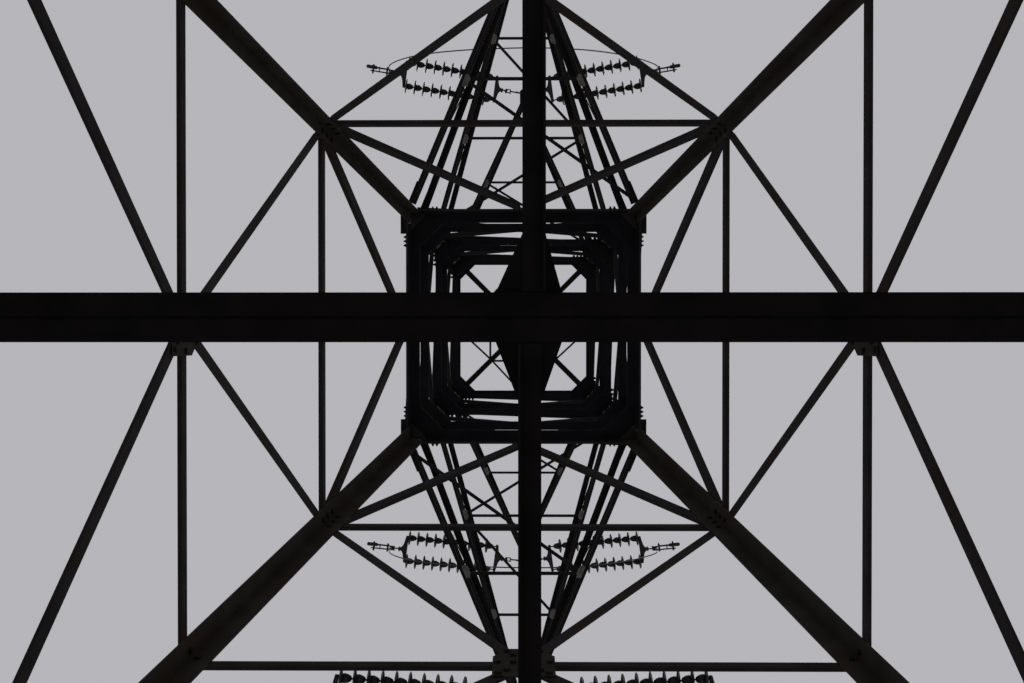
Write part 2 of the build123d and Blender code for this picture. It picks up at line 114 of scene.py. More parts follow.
# Jumper loops: straight down out of a lug, and then through the points (x, z) from the hanging point
JUMPER_LEAD = 0.176
JUMPER_DIAMETER = 0.0195
JUMPER_POINTS = [
    (-2.160, -0.945),
    (-2.040, -1.180),
    (-1.865, -1.405),
    (-1.650, -1.597),
    (-1.405, -1.745),
    (-1.138, -1.860),
    (-0.860, -1.945),
    (-0.575, -2.003),
    (-0.288, -2.045),
    (0.002, -2.072),
    (0.292, -2.066),
    (0.580, -2.032),
    (0.860, -1.962),
    (1.128, -1.855),
    (1.380, -1.715),
    (1.612, -1.545),
    (1.820, -1.345),
    (1.985, -1.135),
    (2.130, -0.925),
]


def link(obj):
    """Puts a piece in the scene, on the part's one body."""
    bpy.context.scene.collection.objects.link(obj)
    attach(obj, "root")
    return obj


def add_jumper(name, origin, look):
    lead = LUG_END.z - JUMPER_LEAD
    route = [(-LUG_END.x, LUG_END.z), (-LUG_END.x, lead)] + JUMPER_POINTS
    route += [(LUG_END.x, lead), (LUG_END.x, LUG_END.z)]
    curve = bpy.data.curves.new(name, "CURVE")
    curve.dimensions = "3D"
    spline = curve.splines.new("NURBS")
    spline.points.add(len(route) - 1)
    for point, (x, z) in zip(spline.points, route):
        point.co = (origin.x + x, origin.y + LUG_END.y, origin.z + z, 1)
    spline.order_u = 3
    spline.use_endpoint_u = True
    spline.resolution_u = 6
    curve.bevel_depth = JUMPER_DIAMETER / 2
    curve.bevel_resolution = 2
    curve.materials.append(look)
    obj = link(bpy.data.objects.new(name + "_wire", curve))
    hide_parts(name)


# Materials: where the two colours blend along the broad noise, and where the stains fade in
COLOUR_BLEND = (0.35, 0.68)
STAIN_BLEND = (0.52, 0.72)

# Scales of the fine noise and of the stains' noise as shares of the broad one's, and detail of the three
FINE_SCALE = 12
STAIN_SCALE = 0.35
BROAD_DETAIL, FINE_DETAIL, STAIN_DETAIL = 6, 4, 8

# How far the roughness varies, and how deep the relief is
ROUGH_SPREAD = 0.12
RELIEF_DEPTH = 0.002

# Numbers of the Mix node's colour sockets
MIX_A, MIX_B, MIX_RESULT = 6, 7, 2


def material(name, colour, other, rough, scale=5.0, bump=0.2, metal=0.0, stain=None, gloss=0.5):
    """Weathered surface: two colours mixed by noise, uneven roughness, fine bump, and stains in patches."""
    made = bpy.data.materials.new(name)
    made.use_nodes = True
    nodes, links = made.node_tree.nodes, made.node_tree.links
    shader = nodes["Principled BSDF"]
    place = nodes.new("ShaderNodeTexCoord")

    def noise(size, detail):
        texture = nodes.new("ShaderNodeTexNoise")
        texture.inputs["Scale"].default_value = size
        texture.inputs["Detail"].default_value = detail
        links.new(place.outputs["Object"], texture.inputs["Vector"])
        return texture.outputs["Fac"]

    broad = noise(scale, BROAD_DETAIL)
    fine = noise(scale * FINE_SCALE, FINE_DETAIL)
    ramp = nodes.new("ShaderNodeValToRGB")
    for element, position, tone in zip(ramp.color_ramp.elements, COLOUR_BLEND, (colour, other)):
        element.position = position
        element.color = (*tone, 1)
    links.new(broad, ramp.inputs["Fac"])
    last = ramp.outputs["Color"]
    if stain:
        limit = nodes.new("ShaderNodeMapRange")
        limit.inputs["From Min"].default_value, limit.inputs["From Max"].default_value = STAIN_BLEND
        links.new(noise(scale * STAIN_SCALE, STAIN_DETAIL), limit.inputs["Value"])
        mix = nodes.new("ShaderNodeMix")
        mix.data_type = "RGBA"
        links.new(limit.outputs["Result"], mix.inputs["Factor"])
        links.new(last, mix.inputs[MIX_A])
        mix.inputs[MIX_B].default_value = (*stain, 1)
        last = mix.outputs[MIX_RESULT]
    links.new(last, shader.inputs["Base Color"])
    spread = nodes.new("ShaderNodeMapRange")
    spread.inputs["To Min"].default_value = rough - ROUGH_SPREAD
    spread.inputs["To Max"].default_value = rough + ROUGH_SPREAD
    links.new(fine, spread.inputs["Value"])
    links.new(spread.outputs["Result"], shader.inputs["Roughness"])
    relief = nodes.new("ShaderNodeBump")
    relief.inputs["Strength"].default_value = bump
    relief.inputs["Distance"].default_value = RELIEF_DEPTH
    links.new(fine, relief.inputs["Height"])
    links.new(relief.outputs["Normal"], shader.inputs["Normal"])
    shader.inputs["Specular IOR Level"].default_value = gloss
    shader.inputs["Metallic"].default_value = metal
    return made


# Steels: weathered steel for the legs and the ring gussets, and darker copies of it as painted shade for the
# bracing of the foot, the body with arms and peak, the frames and the ties
STEEL = material(
    "weathered_steel", (0.0156, 0.0138, 0.0110), (0.0236, 0.0208, 0.0168), rough=0.8,
    stain=(0.019, 0.0125, 0.008), gloss=0.04,
)
# Painted shade: a darker copy of the steel for the bracing of the foot and the waist corners
FACE_SHADE_STEEL = material(
    "braced_steel_painted_shade", (0.0120, 0.0104, 0.0098), (0.0182, 0.0158, 0.0148), rough=0.8,
    stain=(0.015, 0.010, 0.0075), gloss=0.04,
)
# Painted shade: a darker copy of the steel for the body, arms and peak, and their plates and bolts
HIGH_SHADE_STEEL = material(
    "high_steel_painted_shade", (0.0068, 0.0061, 0.0066), (0.0102, 0.0092, 0.0098), rough=0.8,
    stain=(0.011, 0.0075, 0.0065), gloss=0.03,
)
# Painted shade: a darker copy of the steel for the body frames, the waist strips and the body's bolts
FRAME_SHADE_STEEL = material(
    "frame_steel_painted_shade", (0.0050, 0.0048, 0.0060), (0.0074, 0.0071, 0.0086), rough=0.8,
    stain=(0.008, 0.006, 0.0055), gloss=0.02,
)
# Painted shade: the darkest copy of the steel, for the cross tie and its centre gusset facing down
TIE_SHADE_STEEL = material(
    "shaded_steel", (0.0044, 0.0036, 0.0040), (0.0068, 0.0056, 0.0061), rough=0.85,
    stain=(0.0065, 0.0042, 0.0036), gloss=0.02,
)
# Painted shade: a dark copy of the steel for the line ties, a little lighter than the cross tie
LINE_TIE_SHADE_STEEL = material(
    "line_tie_steel_painted_shade", (0.0056, 0.0048, 0.0051), (0.0086, 0.0075, 0.0079), rough=0.85,
    stain=(0.0075, 0.005, 0.0045), gloss=0.02,
)
GUSSET_STEEL = material(
    "gusset_steel", (0.0166, 0.0145, 0.0108), (0.0242, 0.0211, 0.0157), rough=0.8,
    stain=(0.016, 0.011, 0.007), gloss=0.04,
)

# Small pieces and trim
GLAZE = material(
    "brown_glaze", (0.0038, 0.0032, 0.0033), (0.0072, 0.0056, 0.0053), rough=0.4,
    scale=9.0, bump=0.05, gloss=0.15,
)
WIRE = material(
    "conductor", (0.012, 0.012, 0.012), (0.024, 0.024, 0.024), rough=0.5,
    scale=14.0, metal=0.3, gloss=0.3,
)
FITTING = material(
    "zinc_fittings", (0.0038, 0.0036, 0.0037), (0.0080, 0.0075, 0.0074), rough=0.6,
    scale=30.0, bump=0.15, stain=(0.012, 0.008, 0.006), gloss=0.2,
)
BOLT_STEEL = material(
    "bolt_steel", (0.0062, 0.0054, 0.0050), (0.0105, 0.0092, 0.0085), rough=0.7,
    scale=30.0, bump=0.15, stain=(0.012, 0.008, 0.006), gloss=0.06,
)
# Painted light: a light tone for the strut joint plates, standing for their lit faces, with stains
PAINTED_LIGHT_PLATE = material(
    "joint_plate_painted_light", (0.045, 0.042, 0.036), (0.085, 0.080, 0.069), rough=0.6,
    scale=20.0, bump=0.15, stain=(0.030, 0.022, 0.016), gloss=0.3,
)
# Painted highlight: a lighter line for the lit flange edge of the crossarms' bottom chords
CHORD_HIGHLIGHT = material(
    "chord_painted_highlight", (0.016, 0.0135, 0.0105), (0.026, 0.022, 0.017), rough=0.75,
    scale=9.0, gloss=0.15,
)
SEAM = material(
    "joint_seam", (0.0026, 0.0020, 0.0023), (0.0038, 0.0030, 0.0033), rough=0.9,
    bump=0.1, gloss=0.02,
)
CONCRETE = material(
    "concrete", (0.38, 0.36, 0.33), (0.50, 0.48, 0.45), rough=0.85,
    scale=8.0, bump=0.6, stain=(0.22, 0.20, 0.17),
)

# The looks of the CAD nodes, by how their names begin. The others, such as the lower legs, are in
# weathered steel
NODE_LOOKS = {
    "insulators": GLAZE,
    "jumper": WIRE,
    "footings": CONCRETE,
    "cross_tie": TIE_SHADE_STEEL,
    "centre_gusset": TIE_SHADE_STEEL,
    "line_ties": LINE_TIE_SHADE_STEEL,
    "arm": HIGH_SHADE_STEEL,
    "upper": HIGH_SHADE_STEEL,
    "peak": HIGH_SHADE_STEEL,
    "lower_face": FACE_SHADE_STEEL,
    "base_brace": FACE_SHADE_STEEL,
}


def look_of(node):
    for start, look in NODE_LOOKS.items():
        if node.startswith(start):
            return look
    return STEEL


for node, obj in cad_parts.items():
    obj.data.materials.clear()
    obj.data.materials.append(look_of(node))

for place, origin in SET_STARTS.items():
    add_jumper("jumper_" + place, origin, WIRE)

# Mesh tools: sides of a round hole, broken edge of a plate, share of a block's least width that its
# chamfers take, and how near the vertical an axis counts as upright
HOLE_SIDES = 12
PLATE_EDGE = 0.0015
CHAMFER_SHARE = 0.12
STEEP = 0.9


class Shape:
    """The points and faces of one piece, gathered from simple forms."""

    def __init__(self):
        self.points, self.faces, self.looks, self.smooth = [], [], [], []

    def add(self, form, place, look=0, smooth=False):
        """Adds a form at a place, with the number of its look among those given to piece."""
        points, faces = form
        start = len(self.points)
        self.points += [place @ Vector(point) for point in points]
        self.faces += [tuple(start + corner for corner in face) for face in faces]
        self.looks += [look] * len(faces)
        self.smooth += [smooth] * len(faces)

    def piece(self, name, looks, replaced=None):
        """Makes the object, with its looks in the order of their numbers."""
        mesh = bpy.data.meshes.new(name)
        mesh.from_pydata(self.points, [], self.faces)
        mesh.polygons.foreach_set("material_index", self.looks)
        mesh.polygons.foreach_set("use_smooth", self.smooth)
        for look in looks:
            mesh.materials.append(look)
        mesh.validate()
        mesh.update()
        obj = link(bpy.data.objects.new(name, mesh))
        if replaced:
            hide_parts(replaced)
        return obj


def placed(at, x_dir, z_dir=None):
    """A frame at a point with its X axis along one direction and its Z axis near another."""
    x = Vector(x_dir).normalized()
    if z_dir is None:
        z_dir = (0, 0, 1) if abs(x.z) < STEEP else (1, 0, 0)
    y = Vector(z_dir).cross(x).normalized()
    return axes_at(at, x, y, x.cross(y))


def tube_faces(rings, sides):
    """The faces of a tube of rings of points, closed at both ends."""
    faces = [tuple(range(sides - 1, -1, -1))]
    for row in range(rings - 1):
        for k in range(sides):
            a, b = row * sides + k, row * sides + (k + 1) % sides
            faces.append((a, b, b + sides, a + sides))
    last = (rings - 1) * sides
    faces.append(tuple(range(last, last + sides)))
    return faces


def lathe(profile, sides):
    """A turned form around X from (x, radius) pairs, closed at both ends."""
    points = [(x, radius * y, radius * z) for x, radius in profile for y, z in circle(sides)]
    return points, tube_faces(len(profile), sides)


def rod(path, radius, sides=8):
    """A round bar along points in space."""
    path = [Vector(point) for point in path]
    points = []
    across = None
    for i, point in enumerate(path):
        run = (path[min(i + 1, len(path) - 1)] - path[max(i - 1, 0)]).normalized()
        if across is None:
            across = run.orthogonal().normalized()
        across = (across - run * across.dot(run)).normalized()
        other = run.cross(across)
        points += [point + (across * x + other * y) * radius for x, y in circle(sides)]
    return points, tube_faces(len(path), sides)


def slab(outline, thick, holes=(), edge=PLATE_EDGE):
    """A plate in the XY plane with round holes (x, y, radius) or outlines, and broken edges."""
    curve = bpy.data.curves.new("slab", "CURVE")
    curve.dimensions = "2D"
    curve.fill_mode = "BOTH"
    curve.extrude = thick / 2 - edge
    curve.bevel_depth = edge
    curve.bevel_resolution = 0
    curve.offset = -edge
    loops = [outline]
    for hole in holes:
        if len(hole) == 3:
            x, y, radius = hole
            hole = [(x + radius * over, y + radius * up) for over, up in circle(HOLE_SIDES)]
        loops.append(hole)
    for loop in loops:
        spline = curve.splines.new("POLY")
        spline.points.add(len(loop) - 1)
        for point, (x, y) in zip(spline.points, loop):
            point.co = (x, y, 0, 1)
        spline.use_cyclic_u = True
    holder = bpy.data.objects.new("slab", curve)
    mesh = bpy.data.meshes.new_from_object(holder)
    form = [tuple(v.co) for v in mesh.vertices], [tuple(p.vertices) for p in mesh.polygons]
    bpy.data.objects.remove(holder)
    bpy.data.meshes.remove(mesh)
    bpy.data.curves.remove(curve)
    return form


def block(low, high):
    """A block between two corners, with narrow chamfers along its edges."""
    (x0, y0, z0), (x1, y1, z1) = low, high
    mesh = bmesh.new()
    bmesh.ops.create_cube(mesh, size=1)
    for vert in mesh.verts:
        vert.co = Vector((
            x0 + (vert.co.x + 0.5) * (x1 - x0),
            y0 + (vert.co.y + 0.5) * (y1 - y0),
            z0 + (vert.co.z + 0.5) * (z1 - z0),
        ))
    width = CHAMFER_SHARE * min(x1 - x0, y1 - y0, z1 - z0)
    bmesh.ops.bevel(mesh, geom=mesh.edges[:], offset=width, segments=1, affect="EDGES")
    mesh.verts.index_update()
    form = [tuple(v.co) for v in mesh.verts], [tuple(v.index for v in f.verts) for f in mesh.faces]
    mesh.free()
    return form


def mirrored(edge):
    """A closed outline that is the same on both sides of the X axis, from its upper half."""
    return [(x, -y) for x, y in edge] + edge[::-1]


def octagon(half, corner):
    """A square outline with cut corners: half its width, and where its cuts begin."""
    points = [(half, corner), (corner, half), (-corner, half), (-half, corner)]
    return points + [(-x, -y) for x, y in points]


# Bolts, in units of the bolt's radius: head on its washer, and nut with the bolt's end
WASHER = lathe([(0, 2.2), (0.25, 2.2), (0.3, 2.1)], 12)
HEAD = lathe([(0.3, 1.75), (1.3, 1.75), (1.6, 1.5)], 6)
NUT = lathe([(0.3, 1.75), (0.5, 1.8), (1.8, 1.8), (2.0, 1.6)], 6)
THREAD = lathe([(1.9, 1.0), (3.3, 1.0), (3.6, 0.8)], 8)

# Radii of the bolts
BOLT = 0.011
WAIST_BOLT = 0.0095
YOKE_BOLT = 0.009
CLAMP_BOLT = 0.008
SMALL_BOLT = 0.006


def add_head(shape, at, out, size=BOLT):
    place = placed(at, out) @ Matrix.Scale(size, 4)
    shape.add(WASHER, place)
    shape.add(HEAD, place)


def add_nut(shape, at, out, size=BOLT):
    place = placed(at, out) @ Matrix.Scale(size, 4)
    shape.add(WASHER, place)
    shape.add(NUT, place)
    shape.add(THREAD, place)


# Strings of cap-and-pin discs, two in each set, with X along the string from the disc's cap to its pin
DISC_COUNT = 10
DISC_PITCH = 0.146
STRING_START = 0.550
STRING_HALF = 0.195
STRING_END = STRING_START + DISC_COUNT * DISC_PITCH
CAP = lathe([
    (0.000, 0.014), (0.003, 0.026), (0.014, 0.033), (0.034, 0.044), (0.056, 0.051),
    (0.076, 0.053), (0.090, 0.050), (0.098, 0.044), (0.100, 0.030),
], 14)
SHED = lathe([
    (0.094, 0.030), (0.095, 0.052), (0.100, 0.080), (0.106, 0.106), (0.110, 0.118), (0.115, 0.1225),
    (0.120, 0.1215), (0.121, 0.116), (0.116, 0.112), (0.126, 0.106), (0.127, 0.101), (0.115, 0.094),
    (0.126, 0.086), (0.127, 0.081), (0.114, 0.074), (0.126, 0.066), (0.127, 0.060), (0.113, 0.052),
    (0.113, 0.020),
], 24)
PIN = lathe([(0.110, 0.020), (0.118, 0.012), (0.142, 0.010), (0.144, 0.016), (0.149, 0.016)], 10)

# Rods at the strings' ends and the bolts through them, at places along the set
STRING_RODS = ((0.480, STRING_START + 0.004), (STRING_END - 0.002, STRING_END + 0.034))
STRING_ROD_RADIUS = 0.011
STRING_BOLTS = (0.483, STRING_END + 0.008)

# Yokes, with concave sides towards their nose
YOKE_THICK = 0.016
YOKE_ENDS = 0.228
YOKE_EDGE = [
    (0.008, 0.021), (0.040, 0.025), (0.066, 0.040), (0.086, 0.075), (0.100, 0.130), (0.118, YOKE_ENDS),
    (0.158, YOKE_ENDS),
]
YOKE_HOLES = [(0.026, 0, 0.009), (0.138, -STRING_HALF, 0.008), (0.138, STRING_HALF, 0.008)]
YOKE = slab(mirrored(YOKE_EDGE), YOKE_THICK, YOKE_HOLES)
NEAR_YOKE = 0.345
FAR_YOKE = 2.156

# A shackle's bow: share of its length at which it is widest, how much wider it is there and at its
# round end than between its ears, and the steps round the end
WIDEST_AT = 0.45
WIDEST = 1.15
END_WIDTH = 1.1
END_STEPS = 8


def bow(length, width):
    """The centre line of a shackle's bow, from one ear round to the other."""
    line = [(0, -width / 2, 0), (length * WIDEST_AT, -width / 2 * WIDEST, 0)]
    for k in range(END_STEPS + 1):
        turn = -pi / 2 + pi * k / END_STEPS
        line.append((length - width / 2 + width / 2 * cos(turn), width / 2 * END_WIDTH * sin(turn), 0))
    return line + [(length * WIDEST_AT, width / 2 * WIDEST, 0), (0, width / 2, 0)]


# Shackles, rods, eyes and pins between crossarm, yokes and clamp, at places along the set
SHACKLE = rod(bow(0.085, 0.046), 0.0085)
UPRIGHT_SHACKLE = 0.118
LEVEL_SHACKLE = 0.222
LINK_RODS = ((0.292, 0.372), (0.112, 0.236), (2.130, 2.222))
LINK_RADIUS = 0.012
EYE_HALF = 0.011
EYE = lathe([(0, 0.024), (0.003, 0.026), (0.019, 0.026), (0.022, 0.024)], 14)
EYES = (0.300, 0.371, 2.130)
LINK_PIN_HALF = 0.036
LINK_PIN_RADIUS = 0.008
LINK_PIN_HEAD = lathe([(0, 0.016), (0.012, 0.016)], 6)
LINK_PIN_HEAD_AT = 0.028
LEVEL_PINS = (0.226, 0.300, 0.371, 2.130, 2.216)
UPRIGHT_PIN = 0.116

# Strain clamp, from its start: barrel and rod side by side, and the bars across them as two
# corners and whether bolts go through
CLAMP_BARREL = lathe([
    (0.130, 0.008), (0.150, 0.013), (0.330, 0.015), (0.350, 0.030), (0.500, 0.030), (0.515, 0.016),
], 16)
CLAMP_ROD = lathe([(0.065, 0.008), (0.085, 0.012), (0.430, 0.011), (0.445, 0.007)], 12)
CLAMP_HALF = 0.030
CLAMP_BARS = [
    ((0.056, -0.036, -0.010), (0.135, 0.036, 0.010), False),
    ((0.150, -0.048, -0.018), (0.182, 0.056, 0.018), True),
    ((0.288, -0.042, -0.011), (0.304, 0.048, 0.011), False),
    ((0.382, -0.052, -0.018), (0.414, 0.066, 0.018), True),
]

# The lug that holds the jumper: a bolted tongue and a barrel that points down
TONGUE_HALF = 0.006
TONGUE = block((-TONGUE_HALF, -0.024, -0.055), (TONGUE_HALF, 0.024, 0.030))
TONGUE_BOLTS = (0.012, 0.038)
LUG_BARREL = lathe([(0.050, 0.012), (0.056, 0.019), (0.135, 0.019), (0.146, 0.0145), (0.150, 0.0115)], 14)


def set_place(hand, origin):
    """A frame at the hanging point, with X along the set and Y level across it."""
    axis = set_axis(hand)
    cross = Vector((axis.y, -axis.x, 0)).normalized()
    return axes_at(origin, axis, cross, axis.cross(cross))


def along_set(base, x, y=0.0):
    return base @ Matrix.Translation((x, y, 0))


def add_string(discs, fittings, base, across):
    """One string of discs, with its rods and the bolts that hold it in the yokes."""
    for number in range(DISC_COUNT):
        at = along_set(base, STRING_START + number * DISC_PITCH, across)
        discs.add(SHED, at, smooth=True)
        fittings.add(CAP, at, smooth=True)
        fittings.add(PIN, at, smooth=True)
    for start, end in STRING_RODS:
        fittings.add(rod([(start, across, 0), (end, across, 0)], STRING_ROD_RADIUS), base, smooth=True)
    for x in STRING_BOLTS:
        for side in (-1, 1):
            at = base @ Vector((x, across, side * YOKE_THICK / 2))
            add_head(fittings, at, base.to_3x3() @ Vector((0, 0, side)), YOKE_BOLT)


def add_links(fittings, base):
    """Yokes, and what links them to the crossarm and to the clamp."""
    half_turn = Matrix.Rotation(pi, 4, "Z")
    on_edge = Matrix.Rotation(pi / 2, 4, "X")
    fittings.add(YOKE, along_set(base, NEAR_YOKE))
    fittings.add(YOKE, along_set(base, FAR_YOKE) @ half_turn)
    for start, end in LINK_RODS:
        fittings.add(rod([(start, 0, 0), (end, 0, 0)], LINK_RADIUS, 10), base, smooth=True)
    fittings.add(SHACKLE, along_set(base, LEVEL_SHACKLE), smooth=True)
    fittings.add(SHACKLE, along_set(base, UPRIGHT_SHACKLE) @ half_turn @ on_edge, smooth=True)
    for pin in [along_set(base, x) for x in LEVEL_PINS] + [along_set(base, UPRIGHT_PIN) @ on_edge]:
        fittings.add(rod([(0, -LINK_PIN_HALF, 0), (0, LINK_PIN_HALF, 0)], LINK_PIN_RADIUS), pin, smooth=True)
        fittings.add(LINK_PIN_HEAD, pin @ placed((0, LINK_PIN_HEAD_AT, 0), (0, 1, 0)))
    for x in EYES:
        fittings.add(EYE, along_set(base, x) @ placed((0, 0, -EYE_HALF), (0, 0, 1)), smooth=True)


def add_clamp(fittings, clamp, hand):
    """The strain clamp: the conductor's barrel and a rod beside it, held together by bars."""
    fittings.add(CLAMP_BARREL, clamp @ Matrix.Translation((0, hand * CLAMP_HALF, 0)), smooth=True)
    fittings.add(CLAMP_ROD, clamp @ Matrix.Translation((0, -hand * CLAMP_HALF, 0)), smooth=True)
    for low, high, bolted in CLAMP_BARS:
        near, far = sorted((hand * low[1], hand * high[1]))
        fittings.add(block((low[0], near, low[2]), (high[0], far, high[2])), clamp)
        if bolted:
            x = (low[0] + high[0]) / 2
            add_head(fittings, clamp @ Vector((x, near, 0)), clamp.to_3x3() @ Vector((0, -1, 0)), CLAMP_BOLT)
            add_nut(fittings, clamp @ Vector((x, far, 0)), clamp.to_3x3() @ Vector((0, 1, 0)), CLAMP_BOLT)


def add_lug(fittings, base):
    """The lug below the clamp, in the conductor's look."""
    lug = base @ Vector((CLAMP_START + LUG_AT, 0, 0))
    across = base.to_3x3() @ Vector((0, 1, 0))
    fittings.add(TONGUE, placed(lug, across, (0, 0, 1)), look=1)
    fittings.add(LUG_BARREL, placed(lug, (0, 0, -1), across), look=1, smooth=True)
    for down in TONGUE_BOLTS:
        for side in (-1, 1):
            spot = lug - Vector((0, 0, down)) + across * side * TONGUE_HALF
            add_head(fittings, spot, across * side, SMALL_BOLT)


def add_insulators(name, origin):
    discs, fittings = Shape(), Shape()
    for hand in (-1, 1):
        base = set_place(hand, origin)
        for across in (-STRING_HALF, STRING_HALF):
            add_string(discs, fittings, base, across)
        add_links(fittings, base)
        add_clamp(fittings, along_set(base, CLAMP_START), hand)
        add_lug(fittings, base)
    piece = discs.piece(name + "_discs", [GLAZE], name)
    piece = fittings.piece(name + "_fittings", [FITTING, WIRE], name)


for place, origin in SET_STARTS.items():
    add_insulators("insulators_" + place, origin)

# The tower's sides: half-widths, heights of the rings, and the angles' thicknesses
FOOT_HALF = 3.845
BODY_HALF = 1.222
WAIST = 14.310
BODY_TOP = 23.400
BASE_RING, RING_A, RING_B = 6.660, 9.145, 11.710
RING_WIDTH = 0.062
SLOPE = (FOOT_HALF - BODY_HALF) / WAIST
LEAN = atan(SLOPE)
LEG_THICK = 0.012
BAR_THICK = 0.007
TURNS = (0, 90, 180, 270)

# The gap that keeps a plate off the face behind it
SEAT = 0.0005


def side_place(turn, half, slope):
    """A frame on one side of the tower, with X across it, Y up it and Z outward."""
    lean = atan(slope)
    out = Vector((sin(radians(turn)), -cos(radians(turn)), 0))
    across = Vector((cos(radians(turn)), sin(radians(turn)), 0))
    normal = out * cos(lean) + Vector((0, 0, sin(lean)))
    return axes_at(out * half, across, normal.cross(across), normal)


def up_side(height):
    """How far up a leaning side of the foot a height lies."""
    return height / cos(LEAN)


def beside_leg(up, inset):
    """A place across a foot side, inset from the leg's outer edge at a distance up the side."""
    return FOOT_HALF - SLOPE * up * cos(LEAN) - inset


def through(shape, side, x, y, inner, outer):
    """A bolt through what lies between two depths, its head inside and its nut outside."""
    turn = side.to_3x3()
    add_head(shape, side @ Vector((x, y, inner)), turn @ Vector((0, 0, -1)))
    add_nut(shape, side @ Vector((x, y, outer)), turn @ Vector((0, 0, 1)))


# Gussets in the middle of the two lower rings: face plates over them, and bolts (across, up) from the ring
GUSSET_THICK = 0.010
GUSSET_FACE_THICK = 0.004
GUSSET_FACE = slab([
    (-0.200, -0.185), (-0.195, -0.190), (0.195, -0.190), (0.200, -0.185),
    (0.200, 0.080), (0.090, 0.190), (-0.090, 0.190), (-0.200, 0.080),
], GUSSET_FACE_THICK, edge=0.001)
GUSSET_FACE_AT = -GUSSET_THICK - SEAT - GUSSET_FACE_THICK / 2
GUSSET_BOLTS_AT = -GUSSET_THICK - SEAT - GUSSET_FACE_THICK
GUSSET_BOLTS = [
    (0.070, 0.093), (0.112, 0.150), (0.066, -0.008), (0.170, -0.008), (0.106, -0.118), (0.158, -0.158),
]

# Bolts in the legs at each ring, as (inset from the leg's edge, up from the ring)
CORNER_BOLTS = {
    BASE_RING: [(0.055, -0.075), (0.055, -0.025), (0.055, 0.020), (0.090, -0.110)],
    RING_A: [(0.062, 0.043)],
    RING_B: [(0.070, -0.073), (0.070, 0.039), (0.070, 0.150)],
}

# Braces of the lowest panel: their head beside the middle, their foot on the leg, the shares of their
# length where redundants meet them, and the bolts at all of these
HEAD_HALF = 0.110
HEAD_DROP = 0.040
BRACE_FOOT = 0.560
FOOT_INSET = 0.110
KNEES = (0.36, 0.68)
REDUNDANT_RISE = 1.500
REDUNDANT_INSET = 0.045
KNEE_BOLTS = (-0.018, 0.018)
FOOT_BOLTS = (0.03, 0.09)

# Waist: a strip outside each side with nuts near its ends, two at front and back and three on the
# left and right, a plate in each corner, and the bolts where the highest braces meet
WAIST_STRIP = block((-1.100, WAIST - 0.010, 1.202), (1.100, WAIST - 0.002, 1.247))
WAIST_NUTS_DROP = 0.006
WAIST_NUTS_OUT = 1.245
FRONT_BACK_NUTS = (0.925, 0.968)
LEFT_RIGHT_NUTS = (0.865, 0.910, 0.955)
WAIST_CORNER = slab([(1.205, 1.030), (1.205, 1.205), (1.030, 1.205)], 0.006)
WAIST_CORNER_RISE = 0.030
WAIST_BRACE_HALF = 0.045


def add_ring_bolts(bolts, plates, side):
    for height in (BASE_RING, RING_A):
        plates.add(GUSSET_FACE, side @ Matrix.Translation((0, up_side(height), GUSSET_FACE_AT)))
        for hand in (-1, 1):
            for x, y in GUSSET_BOLTS:
                through(bolts, side, hand * x, up_side(height) + y, GUSSET_BOLTS_AT, BAR_THICK)
    for height, spots in CORNER_BOLTS.items():
        for hand in (-1, 1):
            for inset, rise in spots:
                up = up_side(height) + rise
                through(bolts, side, hand * beside_leg(up, inset), up, -LEG_THICK, BAR_THICK)


def add_brace_bolts(bolts, side, hand):
    head = (hand * HEAD_HALF, up_side(BASE_RING - RING_WIDTH) - HEAD_DROP)
    foot = (hand * beside_leg(up_side(BRACE_FOOT), FOOT_INSET), up_side(BRACE_FOOT))
    run = (foot[0] - head[0], foot[1] - head[1])
    for share in KNEES:
        x = head[0] + share * run[0]
        y = head[1] + share * run[1]
        for shift in KNEE_BOLTS:
            through(bolts, side, x + hand * shift, y - shift, 0, BAR_THICK)
        for up in (y, y + REDUNDANT_RISE):
            through(bolts, side, hand * beside_leg(up, REDUNDANT_INSET), up, -LEG_THICK, BAR_THICK)
    for shift in FOOT_BOLTS:
        share = shift / run[1]
        through(bolts, side, foot[0] + run[0] * share, foot[1] + shift, -LEG_THICK, BAR_THICK)
    through(bolts, side, hand * WAIST_BRACE_HALF, up_side(WAIST - RING_WIDTH), 0, BAR_THICK)


def add_waist_side(strips, turn):
    side = side_place(turn, 0, 0)
    strips.add(WAIST_STRIP, side)
    for x in LEFT_RIGHT_NUTS if turn % 180 else FRONT_BACK_NUTS:
        for hand in (-1, 1):
            at = side @ Vector((hand * x, WAIST - WAIST_NUTS_DROP, WAIST_NUTS_OUT))
            add_nut(strips, at, side.to_3x3() @ Vector((0, 0, 1)), WAIST_BOLT)


def add_foot():
    bolts, plates, strips, corners = Shape(), Shape(), Shape(), Shape()
    for turn in TURNS:
        side = side_place(turn, FOOT_HALF, SLOPE)
        add_ring_bolts(bolts, plates, side)
        for hand in (-1, 1):
            add_brace_bolts(bolts, side, hand)
        add_waist_side(strips, turn)
        spin = Matrix.Rotation(radians(turn), 4, "Z")
        corners.add(WAIST_CORNER, spin @ Matrix.Translation((0, 0, WAIST + WAIST_CORNER_RISE)))
    plates.piece("gusset_faces", [GUSSET_STEEL])
    strips.piece("waist_strips", [FRAME_SHADE_STEEL])
    corners.piece("waist_corners", [FACE_SHADE_STEEL])
    bolts.piece("bolts_foot", [BOLT_STEEL])


add_foot()

# The dark joint between the two angles of the cross tie, on its underside
TIE_JOINT_LOW = (-2.600, -0.026, BASE_RING - 0.0015)
TIE_JOINT_HIGH = (2.600, -0.014, BASE_RING + 0.002)
joint = Shape()
joint.add(block(TIE_JOINT_LOW, TIE_JOINT_HIGH), Matrix.Identity(4))
joint.piece("cross_tie_joint", [SEAM])

